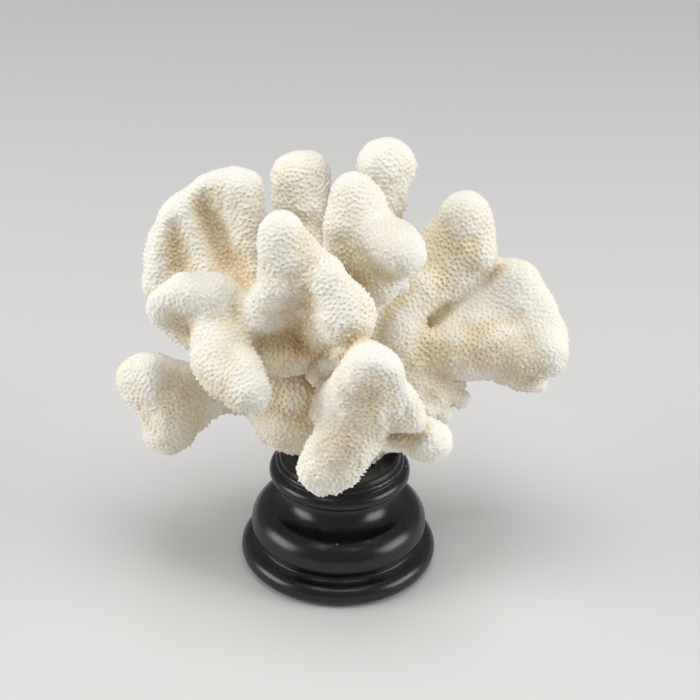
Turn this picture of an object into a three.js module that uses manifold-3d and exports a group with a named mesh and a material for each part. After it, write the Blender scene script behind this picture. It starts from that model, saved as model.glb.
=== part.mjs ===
// Branching coral on a turned black base.
//
// A cream, smooth-lobed branching coral (cat's-paw habit) fixed by its foot in the
// shallow dish of a turned and lacquered wooden base. Millimetres, +Z up. The origin is
// the centre of the base's flat underside, -Y is the front.
//
// The base is one lathe-turned solid. The coral is one grown colony split at its forks:
// a trunk, and one solid for every branch. A branch is described by its limbs (skeleton
// points with a radius, swept as one rounded body) and by webs (the thick plates between
// two limbs of a fan). Each branch is cut back from the ones before it by a small gap.

import * as THREE from 'three';
import { mergeVertices } from 'three/addons/utils/BufferGeometryUtils.js';
import Module from 'manifold-3d';

// ---------------------------------------------------------------- driving dimensions
const GAP = 0.35;            // clearance between a branch and the piece it grows from
const LIMB_SEGMENTS = 8;     // facets around a limb
const TWIG_SEGMENTS = 6;     // facets around a limb thinner than TWIG_R
const TWIG_R = 5.6;
const WEB_SPREAD = 0.45;     // how far a web reaches past its skeleton corners, in half thicknesses
const BASE_SEGMENTS = 24;    // facets around the turned base

const BASE_R = 35.0;         // outer radius of the bottom bead
const BASE_BEAD_R = 3.9;     // section radius of the bottom bead
const BODY_R = 31.3;         // largest radius of the swelling above the bottom bead
const BODY_ARC_R = 7.7;
const BODY_ARC_Z = 14.8;
const NECK_R = 17.6;         // radius of the waist
const COVE_ARC_R = 7.9;
const COVE_ARC_Z = 30.3;
const COLLAR_R = 25.0;       // outer radius of the collar bead
const COLLAR_BEAD_R = 2.8;
const COLLAR_Z = 36.1;
const RING_R = 22.7;         // upper ring
const RING_BEAD_R = 1.1;
const RING_Z = 40.2;
const LIP_R = 21.3;          // inner lip of the dish
const LIP_BEAD_R = 0.9;
const LIP_Z = 41.8;
const DISH_Z = 39.2;         // lowest point of the dish

// Skeleton: limbs are [x, y, z, radius] points from the tip to the root, webs are three
// corners and a half thickness.
const CORAL = [
  { name: 'coral_trunk',
    limbs: [
      [[-0.1, 4, 45.3, 14.2], [-0.3, 4, 57.8, 14.7], [2.9, 4, 70.2, 13.2], [1, 4, 82.2, 12.4]],
      [[13.3, 4, 46.9, 5.3], [9.6, 4, 54.8, 9.2]],
      [[19, 4, 89, 9.6], [23.5, 4, 78, 10.4], [26, 2, 67.1, 9.4], [20.1, 2, 55.5, 9.1]],
      [[35.7, 4, 68.6, 4.2], [30.6, 2, 72.1, 4.8]],
      [[-17.4, -8, 59.1, 8.6], [-8.9, -4, 58.5, 8.3], [-0.2, 0, 56.2, 8.4]],
      [[-30.4, -4, 60.3, 2.8], [-26.1, -6, 61.7, 4.1], [-19.4, -2, 63, 5.5]],
      [[-20.7, -4, 73.9, 6.2], [-14.1, -6, 72.5, 6.2], [-7.4, -2, 75.5, 6.2], [-0.5, 0, 72.5, 8.3]],
    ],
    webs: [
    ] },
  { name: 'branch_far_left',
    limbs: [
      [[-68.9, -2, 74.2, 6.9], [-64.6, -4, 75.1, 6.3], [-56.3, -2, 70.5, 6.5], [-47.2, 0, 66.4, 5.9], [-37.1, 4, 63.4, 5.6], [-26.8, 6, 60, 6], [-13.7, 6, 58.3, 7]],
      [[-60, -8, 55.1, 8], [-59.2, -6, 63.2, 7.9], [-57.6, -3, 69.5, 7.2]],
    ],
    webs: [
      [[-67.4, -3, 74], [-59.8, -8, 59.6], [-52.1, -3, 68], 6.3],
    ] },
  { name: 'branch_front_left_finger',
    limbs: [
      [[-41.7, -18, 104.2, 6.9], [-37.9, -27, 98.9, 7.5], [-33.6, -34, 94.9, 7.6], [-29.7, -40, 91.5, 7.1]],
      [[-44.7, -23, 98.3, 4.1], [-41.7, -29, 95.5, 5.8], [-36.1, -35, 93.9, 6.4]],
      [[-36.1, -10, 102.2, 8], [-30.4, -6, 89, 6.8], [-21.7, -4, 80.2, 6.8]],
      [[-34.4, -16, 99.6, 6.3], [-26.4, -17, 92.7, 5.6], [-17.9, -15, 89.9, 5.3], [-8.7, -12, 90.3, 5.4]],
    ],
    webs: [
      [[-39.5, -16, 110.7], [-28.6, -14, 97.8], [-37.3, -22, 99.9], 5.7],
    ] },
  { name: 'branch_left_knuckle',
    limbs: [
      [[-57.7, -17, 110.4, 5.6], [-50.7, -18, 114.8, 6.2], [-42.7, -16, 113.6, 6.4], [-35.9, -12, 104.1, 7.6]],
      [[-59, -13, 104, 4.3], [-54.5, -13, 98.9, 4.3], [-48.2, -14, 96.5, 4.6]],
    ],
    webs: [
      [[-57.4, -14, 107.6], [-39.9, -12, 106.3], [-50.6, -12, 99.2], 5.3],
    ] },
  { name: 'branch_upper_left_fan',
    limbs: [
      [[-34.3, 15, 137, 6.7], [-33.6, 13, 128.4, 6.4], [-32.8, 10, 118.7, 5.7], [-31.7, 6, 110.5, 5.1], [-31.4, 0, 101.5, 5.1]],
      [[-47.2, 16, 135.5, 5.2], [-52, 16, 129.8, 5.1], [-50.9, 13, 120.5, 4.6], [-47.1, 9, 112.4, 4.6], [-40.3, 3, 104.2, 5.4]],
      [[-57.7, 15, 126.8, 4.7], [-60.1, 13, 119.8, 4.6], [-62.2, 11, 112.5, 4.6], [-63.1, 8, 104, 4.6], [-56.8, 4, 99.4, 5.1]],
      [[-36.3, 4, 105.3, 5.7], [-22.9, 6, 86.3, 6.2], [-7.5, 6, 68.7, 8.4]],
    ],
    webs: [
      [[-39.6, 18, 132.9], [-35.2, 8, 106.3], [-48.2, 18, 127.5], 4.9],
      [[-48.2, 18, 127.5], [-35.1, 6, 103.5], [-44.2, 10, 107], 4.9],
      [[-53.5, 17, 127.1], [-60, 15, 117.3], [-47.2, 10, 106.9], 4.5],
      [[-60, 15, 117.3], [-47.2, 9, 105.5], [-60.9, 9, 103.2], 4.5],
    ] },
  { name: 'branch_centre_fan',
    limbs: [
      [[-20.1, -18, 138, 6.7], [-20.4, -20, 130, 5.8], [-20.9, -22, 120.6, 5.5], [-26.2, -20, 110.6, 6.2]],
      [[-12.4, -20, 132.4, 4.1], [-4.8, -25, 125.5, 5.4], [1.2, -29, 114.4, 8.3]],
      [[-26.4, -17, 109, 6.5], [-18.1, -10, 98.2, 5.3], [-9.1, -12, 96.8, 6.3], [1.1, -26, 112.8, 8.4]],
      [[-9.2, -6, 94.2, 6.7], [-4.2, 0, 86.3, 8.2]],
    ],
    webs: [
      [[-19.6, -16, 134.5], [-3.2, -21, 115.8], [-22.2, -16, 111.9], 5.6],
      [[-22.3, -14, 109.7], [-2.5, -19, 109.6], [-11.8, -9, 95.8], 5.7],
    ] },
  { name: 'branch_centre_right',
    limbs: [
      [[2.2, 4, 141.2, 7.1], [2.1, 2, 132, 8.2], [2.3, 0, 120.9, 8.3], [3.2, 2, 106.7, 8.1], [4.6, 4, 90.1, 8.9]],
      [[6.2, 4, 137.4, 6.6], [7.7, 0, 130.9, 5.9]],
      [[17.5, -12, 129.5, 8.4], [11.7, -8, 127, 7.8], [6, 0, 118.3, 7.3]],
    ],
    webs: [
      [[5, 2, 134.6], [16.9, -10, 128.8], [8.8, -4, 111.9], 7.2],
    ] },
  { name: 'branch_back_left_finger',
    limbs: [
      [[-18.1, 36, 133.1, 7.6], [-16.2, 33, 123.8, 7.6], [-15.6, 29, 113.5, 7], [-13.5, 22, 101.5, 7], [-7.9, 12, 85.3, 7.6]],
      [[-13.2, 36, 133.2, 7.6], [-15.5, 33, 123.9, 8]],
    ],
    webs: [
    ] },
  { name: 'branch_back_right_finger',
    limbs: [
      [[13.6, 32, 138.7, 9.8], [12.8, 30, 129, 7.7], [12.1, 28, 118.5, 6.2], [11.7, 24, 105, 6.3], [11.2, 15, 88.1, 7.7]],
    ],
    webs: [
    ] },
  { name: 'branch_right_upper',
    limbs: [
      [[41, 20, 127.7, 8.1], [43.1, 16, 115.7, 8.5], [37, 16, 108.7, 8.2], [27.6, 13, 103, 8.2], [17.2, 8, 93.7, 9.3]],
      [[38.7, 24, 122.3, 6.9], [31.6, 24, 111.4, 6.9], [23.9, 20, 103.5, 7.6], [17.8, 14, 96.8, 7.6]],
    ],
    webs: [
      [[39.8, 20, 124.3], [41.5, 18, 110.1], [24.6, 18, 102.6], 6.3],
    ] },
  { name: 'branch_right_paddle',
    limbs: [
      [[58.9, 16, 104.2, 6.9], [50.2, 15, 98.7, 6.9], [42.2, 13, 92.4, 6.6], [34.7, 7, 86.1, 5.5]],
      [[59.7, 13, 104.6, 6.7], [66.1, 9, 97.6, 5.8], [69.1, 5, 88.9, 6.5], [68.9, 0, 86.3, 6.8]],
      [[68.7, -2, 87.4, 6.8], [62.3, -2, 85.7, 7.2], [52.1, 0, 87.4, 8.2], [41.1, 2, 84.4, 9.3], [29.6, 4, 82.1, 9]],
      [[64.5, 0, 76.2, 5.5], [56.2, 2, 79.2, 5.9], [47.5, 4, 81.4, 6.2]],
    ],
    webs: [
      [[58.9, 13, 101.5], [67.6, 4, 89.9], [43.9, 9, 89.2], 7.1],
      [[67.7, 4, 88.7], [42.3, 10, 87.8], [47.4, 4, 83.4], 6.7],
    ] },
  { name: 'branch_front_low',
    limbs: [
      [[9.2, -44, 102.3, 9.2], [6.8, -41, 94.2, 9.3], [2.4, -32, 82.9, 9.2], [1.5, -10, 65.7, 9.6]],
      [[4.4, -38, 85.9, 8.7], [0.5, -40, 73.6, 8.5], [-4.9, -40, 62.5, 8.5]],
    ],
    webs: [
      [[8.6, -40, 98.5], [16.7, -35, 85.5], [5.2, -40, 79.5], 6.7],
    ] },
  { name: 'branch_front_right_toe',
    limbs: [
      [[30.9, -33, 67.6, 6.1], [24.6, -30, 69, 5.1], [18.6, -26, 69.5, 4.7], [11.9, -20, 71.1, 5.7]],
      [[23.3, -39, 82.1, 4.9], [19.5, -39, 87.7, 4.8], [14.6, -38, 91.8, 5.8]],
    ],
    webs: [
    ] },
  { name: 'branch_rear_low',
    limbs: [
      [[2, 12, 58, 11], [4, 30, 66, 9], [4, 44, 74, 8], [2, 52, 84, 9]],
    ],
    webs: [
    ] },
  { name: 'branch_rear_left',
    limbs: [
      [[4, 10, 66, 11], [-12, 26, 78, 9], [-26, 40, 90, 8], [-31, 47, 102, 9]],
      [[-26, 40, 90, 7], [-40, 42, 92, 8]],
    ],
    webs: [
    ] },
  { name: 'branch_rear_right',
    limbs: [
      [[14, 14, 72, 11], [28, 28, 84, 8.5], [38, 40, 92, 7.5], [44, 46, 102, 8.5]],
      [[38, 40, 92, 7], [32, 50, 96, 8]],
    ],
    webs: [
    ] },
];
// ---------------------------------------------------------------- materials
const coralMaterial = () => new THREE.MeshStandardMaterial({ color: 0xe9e0cb, roughness: 0.85, metalness: 0.0 });
const baseMaterial = () => new THREE.MeshStandardMaterial({ color: 0x101214, roughness: 0.28, metalness: 0.0 });

// ---------------------------------------------------------------- helpers
const wasm = await Module();
wasm.setup();

const weld = (geometry) => {
  geometry.deleteAttribute('normal');
  geometry.deleteAttribute('uv');
  return mergeVertices(geometry, 1e-4);
};

const toSolid = (geometry) => {
  const g = weld(geometry);
  return new wasm.Manifold(new wasm.Mesh({
    numProp: 3,
    vertProperties: new Float32Array(g.attributes.position.array),
    triVerts: new Uint32Array(g.index.array),
  }));
};

const toGeometry = (solid) => {
  const mesh = solid.getMesh();
  const g = new THREE.BufferGeometry();
  g.setAttribute('position', new THREE.BufferAttribute(new Float32Array(mesh.vertProperties), 3));
  g.setIndex(new THREE.BufferAttribute(new Uint32Array(mesh.triVerts), 1));
  g.computeVertexNormals();
  return g;
};

// A limb: a sphere whose rows of vertices are moved onto rings along the skeleton curve,
// so it is one closed, round-ended body of varying thickness.
const limbGeometry = (points, grow) => {
  const centres = points.map((p) => new THREE.Vector3(p[0], p[1], p[2]));
  const radii = points.map((p) => p[3] + grow);
  const segments = Math.max(...points.map((p) => p[3])) < TWIG_R ? TWIG_SEGMENTS : LIMB_SEGMENTS;
  const curve = new THREE.CatmullRomCurve3(centres, false, 'centripetal');
  const spans = centres.length - 1;
  const stations = [];
  for (let i = 0; i <= spans; i++) {
    stations.push(i / spans);
    if (i < spans && centres[i].distanceTo(centres[i + 1]) > 1.7 * Math.max(radii[i], radii[i + 1])) stations.push((i + 0.5) / spans);
  }
  const radiusAt = (t) => {
    const s = Math.min(t * spans, spans - 1e-9), i = Math.floor(s), f = s - i;
    return THREE.MathUtils.lerp(radii[i], radii[i + 1], f);
  };
  const rows = [];
  const ends = [0, 48];
  for (const a of ends) rows.push({ t: 0, back: -Math.cos(a * Math.PI / 180), ring: Math.sin(a * Math.PI / 180) });
  for (const t of stations) rows.push({ t, back: 0, ring: 1 });
  for (const a of [...ends].reverse()) rows.push({ t: 1, back: Math.cos(a * Math.PI / 180), ring: Math.sin(a * Math.PI / 180) });

  // frames carried along the curve without twist
  const frames = [];
  let tangent = curve.getTangent(0).normalize();
  let normal = new THREE.Vector3(0.31, 0.77, 0.55).cross(tangent).normalize();
  for (const row of rows) {
    const next = curve.getTangent(row.t).normalize();
    normal = normal.clone().applyQuaternion(new THREE.Quaternion().setFromUnitVectors(tangent, next));
    normal.addScaledVector(next, -normal.dot(next)).normalize();
    tangent = next;
    frames.push({ t: tangent, n: normal, b: new THREE.Vector3().crossVectors(tangent, normal) });
  }

  const geometry = new THREE.SphereGeometry(1, segments, rows.length - 1);
  const position = geometry.attributes.position;
  const v = new THREE.Vector3();
  for (let j = 0; j < rows.length; j++) {
    const row = rows[j], f = frames[j], r = radiusAt(row.t), c = curve.getPoint(row.t);
    for (let i = 0; i <= segments; i++) {
      const phi = (i % segments) / segments * 2 * Math.PI;
      v.copy(c).addScaledVector(f.t, row.back * r)
        .addScaledVector(f.n, -Math.cos(phi) * r * row.ring)
        .addScaledVector(f.b, Math.sin(phi) * r * row.ring);
      position.setXYZ(j * (segments + 1) + i, v.x, v.y, v.z);
    }
  }
  return geometry;
};

// A web: a triangular plate between three skeleton points.
const webGeometry = ([a, b, c, half], grow) => {
  const A = new THREE.Vector3(...a), B = new THREE.Vector3(...b), C = new THREE.Vector3(...c);
  const ex = B.clone().sub(A).normalize();
  const n = ex.clone().cross(C.clone().sub(A)).normalize();
  const ey = n.clone().cross(ex);
  const flat = (p) => { const d = p.clone().sub(A); return new THREE.Vector2(d.dot(ex), d.dot(ey)); };
  const t = half + grow;
  // every side moved out by WEB_SPREAD * t, with the corners cut off square
  const corners = [flat(A), flat(B), flat(C)];
  const outward = corners.map((p, i) => {
    const d = corners[(i + 1) % 3].clone().sub(p).normalize();
    return new THREE.Vector2(d.y, -d.x).multiplyScalar(WEB_SPREAD * t);
  });
  const shape = new THREE.Shape(corners.flatMap((p, i) => [p.clone().add(outward[(i + 2) % 3]), p.clone().add(outward[i])]));
  const geometry = new THREE.ExtrudeGeometry(shape, { depth: 1.9 * t, bevelEnabled: false, steps: 1 });
  geometry.translate(0, 0, -0.95 * t);
  geometry.applyMatrix4(new THREE.Matrix4().makeBasis(ex, ey, n).setPosition(A));
  return geometry;
};

const branchSolid = (branch, grow) => {
  let solid = null;
  for (const limb of branch.limbs) {
    const s = toSolid(limbGeometry(limb, grow));
    solid = solid ? solid.add(s) : s;
  }
  for (const web of branch.webs) solid = solid.add(toSolid(webGeometry(web, grow)));
  return solid;
};

const largest = (solid) => {
  const bodies = solid.decompose();
  let best = bodies[0];
  for (const body of bodies) if (body.volume() > best.volume()) best = body;
  return best;
};

const touching = (a, b) => {
  const p = a.boundingBox(), q = b.boundingBox();
  return [0, 1, 2].every((k) => p.min[k] < q.max[k] && q.min[k] < p.max[k]);
};

// ---------------------------------------------------------------- turned base
const arc = (r, z, radius, from, to, steps) => {
  const out = [];
  for (let i = 0; i <= steps; i++) {
    const a = (from + (to - from) * i / steps) * Math.PI / 180;
    out.push([r + radius * Math.cos(a), z + radius * Math.sin(a)]);
  }
  return out;
};

const baseProfile = () => [
  [0, 0],
  ...arc(BASE_R - BASE_BEAD_R, BASE_BEAD_R, BASE_BEAD_R, -90, 90, 4),
  ...arc(BODY_R - BODY_ARC_R, BODY_ARC_Z, BODY_ARC_R, -48, 68, 4),
  ...arc(NECK_R + COVE_ARC_R, COVE_ARC_Z, COVE_ARC_R, 268, 180, 3),
  [NECK_R, 32.2],
  ...arc(COLLAR_R - COLLAR_BEAD_R, COLLAR_Z, COLLAR_BEAD_R, -115, 85, 4),
  ...arc(RING_R - RING_BEAD_R, RING_Z, RING_BEAD_R, -40, 75, 1),
  ...arc(LIP_R - LIP_BEAD_R, LIP_Z, LIP_BEAD_R, -10, 150, 2),
  [17.5, 40.9], [11, 39.7], [0, DISH_Z],
];

const baseGeometry = () => {
  const geometry = new THREE.LatheGeometry(baseProfile().map(([r, z]) => new THREE.Vector2(r, z)), BASE_SEGMENTS);
  geometry.rotateX(Math.PI / 2);
  return geometry;
};

// ---------------------------------------------------------------- assembly
const group = new THREE.Group();

const baseSolid = toSolid(baseGeometry());
const baseMesh = new THREE.Mesh(toGeometry(baseSolid), baseMaterial());
baseMesh.name = 'stand';
group.add(baseMesh);

const keepOut = [baseSolid.translate(0, 0, GAP)];
for (const branch of CORAL) {
  let solid = branchSolid(branch, 0);
  for (const other of keepOut) if (touching(solid, other)) solid = solid.subtract(other);
  solid = largest(solid);
  const mesh = new THREE.Mesh(toGeometry(solid), coralMaterial());
  mesh.name = branch.name;
  group.add(mesh);
  keepOut.push(branchSolid(branch, GAP));
}

export default group;
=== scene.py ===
# Looks of the branching coral on its turned base. Blender 4.5, metres, frame of the CAD model.
import math
import bpy
import numpy as np
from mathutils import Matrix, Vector, kdtree


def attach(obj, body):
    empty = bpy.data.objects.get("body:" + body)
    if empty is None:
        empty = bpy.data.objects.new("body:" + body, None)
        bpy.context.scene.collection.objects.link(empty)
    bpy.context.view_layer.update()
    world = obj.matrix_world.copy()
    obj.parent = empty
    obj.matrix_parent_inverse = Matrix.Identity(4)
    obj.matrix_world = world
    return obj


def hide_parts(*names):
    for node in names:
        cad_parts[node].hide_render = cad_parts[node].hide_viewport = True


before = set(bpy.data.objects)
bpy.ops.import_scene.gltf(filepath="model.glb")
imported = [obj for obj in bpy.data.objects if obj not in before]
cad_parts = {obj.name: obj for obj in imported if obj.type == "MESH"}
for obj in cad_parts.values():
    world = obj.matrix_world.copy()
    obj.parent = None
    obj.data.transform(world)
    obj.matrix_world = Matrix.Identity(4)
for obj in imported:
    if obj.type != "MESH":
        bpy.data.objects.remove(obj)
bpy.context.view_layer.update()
scene = bpy.context.scene

# ------------------------------------------------------------------ camera
cam_data = bpy.data.cameras.new("camera")
cam_data.lens = 92.57
cam_data.sensor_width = 36.0
cam_data.clip_start = 0.01
cam_data.clip_end = 30.0
cam = bpy.data.objects.new("camera", cam_data)
scene.collection.objects.link(cam)
ELEV, ROLL, DIST = math.radians(29.9), math.radians(1.33), 0.6153
back = Vector((0, -math.cos(ELEV), math.sin(ELEV)))
right = Vector((1, 0, 0))
up = right.cross(-back)
r2 = math.cos(ROLL) * right + math.sin(ROLL) * up
u2 = -math.sin(ROLL) * right + math.cos(ROLL) * up
from mathutils import Matrix
rot = Matrix((r2, u2, back)).transposed().to_4x4()
cam.matrix_world = Matrix.Translation(Vector((0.0027, 0, 0.0845)) + back * DIST) @ rot
scene.camera = cam

# ------------------------------------------------------------------ coral skeleton, millimetres
# every lobe: limbs of [x, y, z, radius] from tip to root, webs of three corners and a half thickness
CORAL = [
    ("coral_trunk", [
        [[-0.1, 4, 45.3, 14.18], [-0.32, 4, 57.81, 14.75], [2.94, 4, 70.17, 13.21], [0.98, 4, 82.15, 12.4]],
        [[13.33, 4, 46.93, 5.31], [9.59, 4, 54.77, 9.15]],
        [[19.01, 4, 88.96, 9.59], [23.52, 4, 77.97, 10.37], [25.97, 2, 67.13, 9.39], [20.11, 2, 55.48, 9.12]],
        [[35.71, 4, 68.62, 4.18], [30.63, 2, 72.11, 4.85]],
        [[30.8, 0, 66.85, 4.16], [26.52, 0, 69.97, 4.84]],
        [[-17.4, -8, 59.1, 8.63], [-8.88, -4, 58.45, 8.33], [-0.23, 0, 56.18, 8.39]],
        [[-30.4, -4, 60.32, 2.77], [-26.13, -6, 61.68, 4.14], [-19.39, -2, 63.05, 5.55]],
        [[-21.45, -10, 59.03, 5.85], [-13.99, -6, 53.83, 5.91]],
        [[-20.7, -4, 73.91, 6.17], [-14.11, -6, 72.49, 6.16], [-7.4, -2, 75.47, 6.18], [-0.51, 0, 72.47, 8.28]],
    ], [
    ]),
    ("branch_far_left", [
        [[-68.93, -2, 74.21, 6.87], [-64.56, -4, 75.12, 6.34], [-56.31, -2, 70.55, 6.55], [-47.24, 0, 66.35, 5.9], [-37.14, 4, 63.38, 5.59], [-26.76, 6, 59.98, 5.98], [-13.74, 6, 58.27, 7.04]],
        [[-59.97, -8, 55.07, 7.96], [-59.23, -6, 63.21, 7.93], [-57.62, -3, 69.5, 7.24]],
        [[-71.79, -2, 71.33, 4.82], [-67.13, -5, 67.24, 5.51]],
        [[-58.27, -7, 57.35, 7.27], [-52.21, -4, 61.35, 5.89], [-46.6, 0, 63.93, 5.56]],
    ], [
        [[-67.45, -3, 74.05], [-59.84, -8, 59.57], [-52.14, -3, 68.04], 5.51],
    ]),
    ("branch_front_left_finger", [
        [[-41.74, -18, 104.25, 6.88], [-37.89, -27, 98.94, 7.47], [-33.58, -34, 94.89, 7.58], [-29.69, -40, 91.46, 7.05]],
        [[-44.73, -23, 98.34, 4.09], [-41.7, -29, 95.49, 5.85], [-36.1, -35, 93.92, 6.45]],
        [[-36.08, -10, 102.24, 7.97], [-30.42, -6, 89.01, 6.75], [-21.73, -4, 80.24, 6.82]],
        [[-34.38, -16, 99.56, 6.27], [-26.44, -17, 92.73, 5.63], [-17.89, -15, 89.88, 5.33], [-8.65, -12, 90.32, 5.35]],
    ], [
        [[-39.49, -16, 110.67], [-28.57, -14, 97.83], [-37.26, -22, 99.85], 4.93],
    ]),
    ("branch_left_knuckle", [
        [[-57.71, -17, 110.36, 5.55], [-50.65, -18, 114.78, 6.17], [-42.71, -16, 113.55, 6.36], [-35.92, -12, 104.1, 7.6]],
        [[-58.97, -13, 104.04, 4.29], [-54.49, -13, 98.86, 4.31], [-48.15, -14, 96.55, 4.64]],
    ], [
        [[-57.44, -14, 107.63], [-39.85, -12, 106.25], [-50.59, -12, 99.17], 4.62],
    ]),
    ("branch_upper_left_fan", [
        [[-34.33, 15, 137.02, 6.69], [-33.62, 13, 128.38, 6.38], [-32.84, 10, 118.65, 5.73], [-31.65, 6, 110.51, 5.06], [-31.36, 0, 101.48, 5.06]],
        [[-40.1, 16, 136.78, 5.86], [-41.45, 15, 130.94, 4.71]],
        [[-47.16, 16, 135.5, 5.2], [-51.99, 16, 129.83, 5.05], [-50.94, 13, 120.46, 4.56], [-47.05, 9, 112.36, 4.57], [-40.31, 3, 104.23, 5.41]],
        [[-57.71, 15, 126.8, 4.72], [-60.09, 13, 119.84, 4.57], [-62.15, 11, 112.47, 4.58], [-63.14, 8, 104.05, 4.59], [-56.76, 4, 99.42, 5.09]],
        [[-36.31, 4, 105.33, 5.75], [-22.89, 6, 86.32, 6.2], [-7.53, 6, 68.69, 8.38]],
    ], [
        [[-39.62, 18, 132.92], [-35.2, 8, 106.32], [-48.16, 18, 127.48], 4.23],
        [[-48.16, 18, 127.48], [-35.1, 6, 103.54], [-44.18, 10, 106.95], 4.24],
        [[-53.5, 17, 127.08], [-60.02, 15, 117.34], [-47.25, 10, 106.87], 3.9],
        [[-60.02, 15, 117.34], [-47.19, 9, 105.48], [-60.88, 9, 103.2], 3.92],
    ]),
    ("branch_centre_fan", [
        [[-20.14, -18, 137.95, 6.69], [-20.36, -20, 130.05, 5.75], [-20.91, -22, 120.61, 5.46], [-26.2, -20, 110.6, 6.17]],
        [[-12.39, -20, 132.4, 4.15], [-4.84, -25, 125.5, 5.41], [1.15, -29, 114.41, 8.31]],
        [[-26.37, -17, 108.96, 6.54], [-18.13, -10, 98.15, 5.33], [-9.05, -12, 96.84, 6.32], [1.15, -26, 112.76, 8.36]],
        [[-9.2, -6, 94.23, 6.72], [-4.16, 0, 86.29, 8.19]],
    ], [
        [[-19.59, -16, 134.49], [-3.18, -21, 115.8], [-22.16, -16, 111.87], 4.85],
        [[-22.26, -14, 109.68], [-2.47, -19, 109.57], [-11.81, -9, 95.85], 4.94],
    ]),
    ("branch_centre_right", [
        [[2.17, 4, 141.23, 7.05], [2.05, 2, 132.02, 8.24], [2.3, 0, 120.86, 8.29], [3.24, 2, 106.67, 8.08], [4.59, 4, 90.15, 8.9]],
        [[6.2, 4, 137.36, 6.58], [7.69, 0, 130.94, 5.92]],
        [[17.47, -12, 129.51, 8.41], [11.73, -8, 126.98, 7.83], [6.01, 0, 118.35, 7.31]],
        [[13.33, -7, 116.94, 6.59], [8.24, 0, 109, 6.7]],
    ], [
        [[4.96, 2, 134.64], [16.86, -10, 128.85], [8.84, -4, 111.89], 6.24],
    ]),
    ("branch_back_left_finger", [
        [[-18.06, 36, 133.05, 7.61], [-16.17, 33, 123.85, 7.63], [-15.61, 29, 113.48, 6.96], [-13.55, 22, 101.51, 6.95], [-7.88, 12, 85.33, 7.64]],
        [[-13.22, 36, 133.18, 7.61], [-15.47, 33, 123.86, 7.98]],
    ], [
    ]),
    ("branch_back_right_finger", [
        [[13.56, 32, 138.66, 9.75], [12.81, 30, 129.03, 7.74], [12.07, 28, 118.54, 6.23], [11.75, 24, 105.04, 6.26], [11.16, 15, 88.15, 7.66]],
    ], [
    ]),
    ("branch_right_upper", [
        [[40.99, 20, 127.69, 8.15], [43.15, 16, 115.72, 8.52], [37.01, 16, 108.66, 8.23], [27.56, 13, 103.02, 8.23], [17.18, 8, 93.75, 9.26]],
        [[38.71, 24, 122.31, 6.86], [31.64, 24, 111.39, 6.92], [23.9, 20, 103.53, 7.62], [17.83, 14, 96.77, 7.59]],
    ], [
        [[39.81, 20, 124.28], [41.48, 18, 110.06], [24.59, 18, 102.64], 5.49],
    ]),
    ("branch_right_paddle", [
        [[58.91, 16, 104.2, 6.88], [50.23, 15, 98.65, 6.9], [42.18, 13, 92.45, 6.57], [34.66, 7, 86.1, 5.52]],
        [[59.7, 13, 104.64, 6.68], [66.06, 9, 97.62, 5.82], [69.11, 5, 88.94, 6.52], [68.9, 0, 86.27, 6.83]],
        [[68.65, -2, 87.42, 6.8], [62.31, -2, 85.67, 7.15], [52.1, 0, 87.4, 8.18], [41.09, 2, 84.38, 9.26], [29.57, 4, 82.12, 8.95]],
        [[64.48, 0, 76.23, 5.51], [56.16, 2, 79.22, 5.85], [47.53, 4, 81.41, 6.2]],
        [[53.42, 15, 108.45, 3.42], [46.47, 13, 102.35, 3.43], [39.44, 11.5, 97.51, 3.44], [35.47, 11, 93.76, 3.1]],
    ], [
        [[58.88, 13, 101.51], [67.6, 4, 89.86], [43.9, 9, 89.18], 6.18],
        [[67.68, 4, 88.68], [42.29, 10, 87.79], [47.42, 4, 83.4], 5.85],
    ]),
    ("branch_front_low", [
        [[9.17, -44, 102.32, 9.16], [6.81, -41, 94.18, 9.26], [2.45, -32, 82.91, 9.15], [1.48, -10, 65.74, 9.58]],
        [[4.4, -38, 85.89, 8.72], [0.45, -40, 73.63, 8.47], [-4.94, -40, 62.55, 8.54]],
        [[11.55, -36, 84.85, 7.14], [7.3, -38, 72.53, 6.54], [0.28, -39, 63.61, 6.91]],
        [[14.91, -42, 100.93, 4.76], [15.14, -40, 93.8, 5.12], [12.81, -37, 85.88, 5.83]],
    ], [
        [[8.62, -40, 98.47], [16.73, -35, 85.52], [5.21, -40, 79.53], 5.8],
    ]),
    ("branch_front_right_toe", [
        [[29.8, -33, 69.54, 7.43], [24.21, -30, 70.21, 6.13], [18.62, -26, 70.27, 5.17], [11.94, -20, 71.05, 5.71]],
        [[23.28, -39, 82.08, 4.86], [19.52, -39, 87.67, 4.83], [14.57, -38, 91.83, 5.79]],
    ], [
    ]),
    ("branch_rear_low", [
        [[2, 12, 58, 11], [4, 30, 66, 9], [4, 44, 74, 8], [2, 52, 84, 9]],
    ], [
    ]),
    ("branch_rear_left", [
        [[4, 10, 66, 11], [-12, 26, 78, 9], [-26, 40, 90, 8], [-31, 47, 102, 9]],
        [[-26, 40, 90, 7], [-40, 42, 92, 8]],
    ], [
    ]),
    ("branch_rear_right", [
        [[14, 14, 72, 11], [28, 28, 84, 8.5], [38, 40, 92, 7.5], [44, 46, 102, 8.5]],
        [[38, 40, 92, 7], [32, 50, 96, 8]],
    ], [
    ]),
]

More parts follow.
